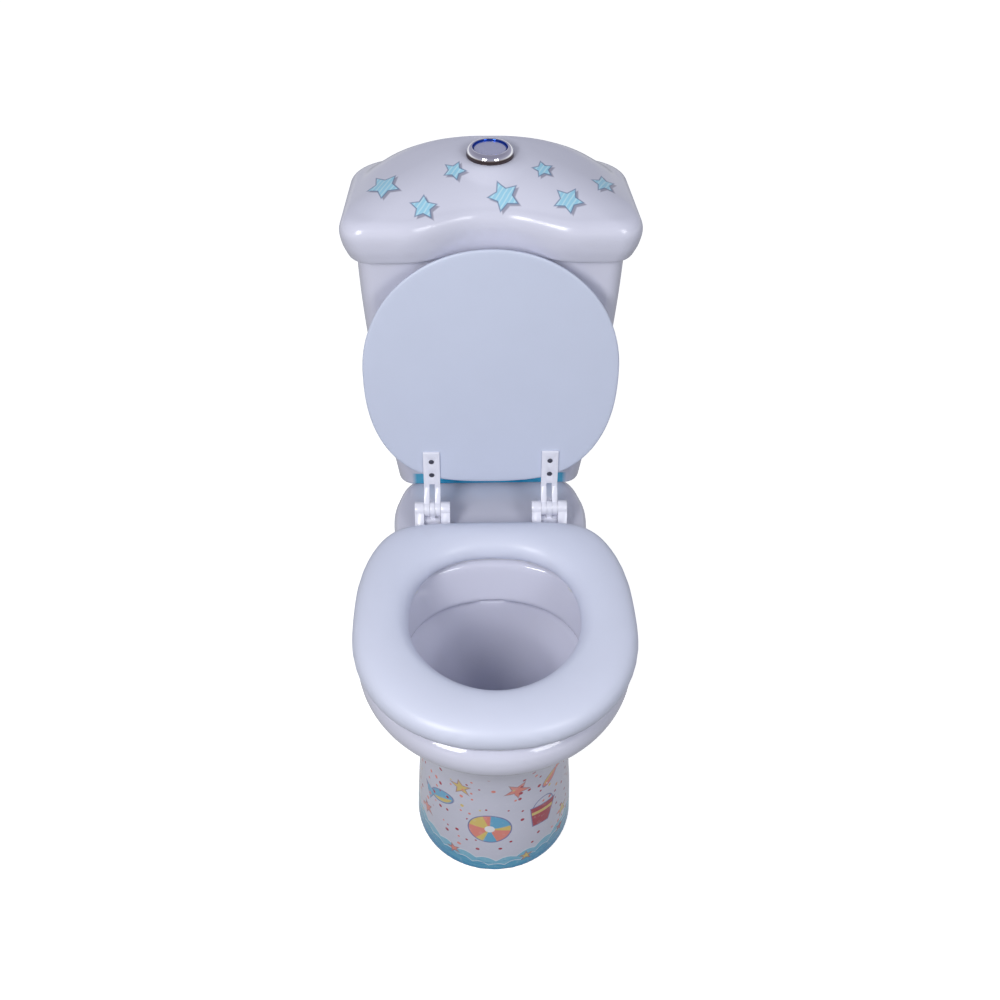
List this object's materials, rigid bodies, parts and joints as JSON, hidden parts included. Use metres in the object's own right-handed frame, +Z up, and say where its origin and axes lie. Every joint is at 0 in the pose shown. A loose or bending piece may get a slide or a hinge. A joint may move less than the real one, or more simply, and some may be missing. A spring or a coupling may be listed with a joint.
{
  "type": "child's close-coupled toilet",
  "caption": "Small glazed floor-standing toilet for children: pan, cistern with domed lid and push button, padded ring seat and round padded cover on two hinges.",
  "frame": {"origin": "middle of the footprint box, on the floor", "axes": "+Z up, -Y the front of the seat, +X to the sitter's left as the sitter faces the front"},
  "size_m": [0.334, 0.57, 0.7285],
  "materials": {
    "glazed_china": "high gloss glaze",
    "seat_vinyl": "soft satin vinyl over foam",
    "cover_face_vinyl": "matt vinyl, slightly wrinkled",
    "board_white": "white lacquered fibreboard",
    "hinge_nylon": "moulded nylon, semi-gloss",
    "stainless_pin": "plain steel",
    "dark_screw": "dark zinc plate",
    "bright_chrome": "mirror chrome",
    "satin_chrome": "satin chrome",
    "deep_blue": "gloss",
    "valve_white": "moulded plastic",
    "valve_grey": "moulded plastic",
    "valve_blue": "moulded plastic",
    "hose_white": "soft PVC",
    "brass_bolt": "turned brass",
    "zinc_steel": "zinc plate",
    "black_rubber": "matt rubber",
    "buffer_rubber": "matt rubber",
    "sponge_rubber": "closed-cell sponge"
  },
  "bodies": {
    "toilet": {"pan": "glazed_china", "cistern_tank": "glazed_china", "cistern_lid": "glazed_china", "tank_gasket": "sponge_rubber", "tank_bolts": "brass_bolt", "tank_bolt_seals": "black_rubber", "tank_bolt_washers": "zinc_steel", "tank_wing_nuts": "brass_bolt", "flush_valve_tower": "valve_white", "flush_valve_nut": "valve_grey", "flush_valve_seal": "black_rubber", "rocker_pin": "stainless_pin", "fill_valve_column": "valve_white", "fill_valve_head": "valve_blue", "fill_valve_nut": "valve_grey", "fill_valve_washer": "black_rubber", "refill_hose": "hose_white", "button_bezel": "bright_chrome", "button_liner": "deep_blue", "button_nut": "valve_grey", "hinge_post_left": "hinge_nylon", "hinge_post_right": "hinge_nylon", "hinge_pins": "stainless_pin", "hinge_bolts": "hinge_nylon", "hinge_washers": "black_rubber", "hinge_nuts": "hinge_nylon"},
    "cover": {"cover_board": "cover_face_vinyl", "cover_pad": "seat_vinyl", "cover_strap_left": "hinge_nylon", "cover_strap_right": "hinge_nylon", "cover_strap_screws": "dark_screw"},
    "seat": {"seat_board": "board_white", "seat_pad": "seat_vinyl", "seat_strap_left": "hinge_nylon", "seat_strap_right": "hinge_nylon", "seat_strap_screws": "stainless_pin", "seat_buffers": "buffer_rubber"},
    "button": {"flush_button": "satin_chrome", "push_rod": "valve_white"},
    "rocker": {"flush_rocker": "valve_white"},
    "plug": {"flush_plug": "valve_blue", "plug_seal": "black_rubber"},
    "float": {"float_cup": "valve_grey"}
  },
  "joints": [
    {"name": "cover_hinge", "type": "hinge", "parent": "toilet", "child": "cover", "pos_m": [0, 0.077, 0.311], "axis": [1, 0, 0], "range_deg": [0, 94.7]},
    {"name": "seat_hinge", "type": "hinge", "parent": "toilet", "child": "seat", "pos_m": [0, 0.077, 0.311], "axis": [-1, 0, 0], "range_deg": [0, 94]},
    {"name": "button_press", "type": "slide", "parent": "toilet", "child": "button", "axis": [0, 0, -1], "range_m": [0, 0.004], "stiffness_N_per_m": 1500, "springref_m": -0.002},
    {"name": "rocker_turn", "type": "hinge", "parent": "toilet", "child": "rocker", "pos_m": [0, 0.216, 0.597], "axis": [0, -1, 0], "range_deg": [0, 32]},
    {"name": "plug_lift", "type": "slide", "parent": "toilet", "child": "plug", "axis": [0, 0, 1], "range_m": [0, 0.0083]},
    {"name": "float_rise", "type": "slide", "parent": "toilet", "child": "float", "axis": [0, 0, 1], "range_m": [0, 0.07]}
  ],
  "couplings": [
    {"joint": "rocker_turn", "follows": "button_press", "rad_per_m": 138.89},
    {"joint": "plug_lift", "follows": "button_press", "ratio": 2.05}
  ]
}
